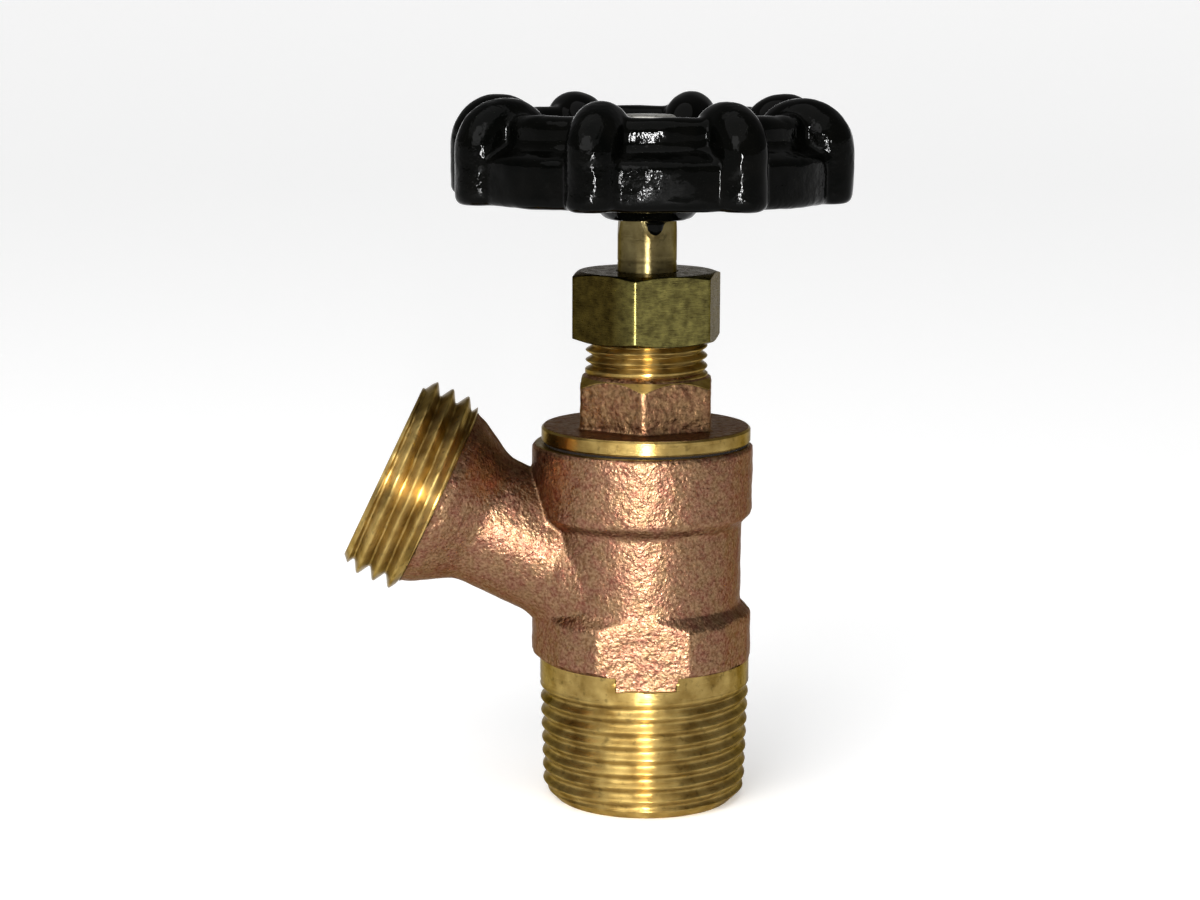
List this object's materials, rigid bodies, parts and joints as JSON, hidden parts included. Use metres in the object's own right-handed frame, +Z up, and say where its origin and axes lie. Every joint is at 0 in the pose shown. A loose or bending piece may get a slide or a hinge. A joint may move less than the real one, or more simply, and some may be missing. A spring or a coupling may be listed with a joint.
{
  "type": "boiler drain valve",
  "caption": "Cast brass boiler drain valve: threaded pipe inlet, wrench hexagon, rising hose spout, packed screw stem and lobed black handwheel.",
  "frame": {"origin": "centre of the inlet end face, on the valve axis", "axes": "+Z up the valve axis from the pipe to the handwheel; the hose spout lies in the XZ plane, points to -X and rises"},
  "size_m": [0.0637, 0.0504, 0.0902],
  "materials": {
    "cast_bronze": "sand-cast, with machined threads",
    "bonnet_bronze": "sand-cast hexagon, turned flange and neck",
    "turned_brass": "turned",
    "nut_brass": "turned and milled from bar",
    "black_enamel": "glossy enamel over a rough casting",
    "plate_aluminium": "brushed",
    "screw_steel": "plated",
    "seat_rubber": "matt",
    "packing_yarn": "graphited yarn",
    "gasket_fibre": "matt"
  },
  "bodies": {
    "valve_body": {"body": "cast_bronze", "bonnet_gasket": "gasket_fibre", "bonnet": "bonnet_bronze", "packing_washer": "turned_brass", "packing_ring_lower": "packing_yarn", "packing_ring_upper": "packing_yarn", "packing_gland": "turned_brass", "packing_nut": "nut_brass"},
    "washer_lift": {"seat_washer": "seat_rubber"},
    "spindle": {"stem": "turned_brass", "seat_washer_screw": "turned_brass", "handwheel": "black_enamel", "index_plate": "plate_aluminium", "handwheel_screw": "screw_steel"}
  },
  "joints": [
    {"name": "stem_lift", "type": "slide", "parent": "valve_body", "child": "washer_lift", "axis": [0, 0, 1], "range_m": [0, 0.0061]},
    {"name": "stem_turn", "type": "hinge", "parent": "washer_lift", "child": "spindle", "pos_m": [0, 0, 0.06], "axis": [0, 0, 1], "range_deg": [0, 1080]}
  ],
  "couplings": [
    {"joint": "stem_lift", "follows": "stem_turn", "m_per_rad": 0.00031831}
  ]
}
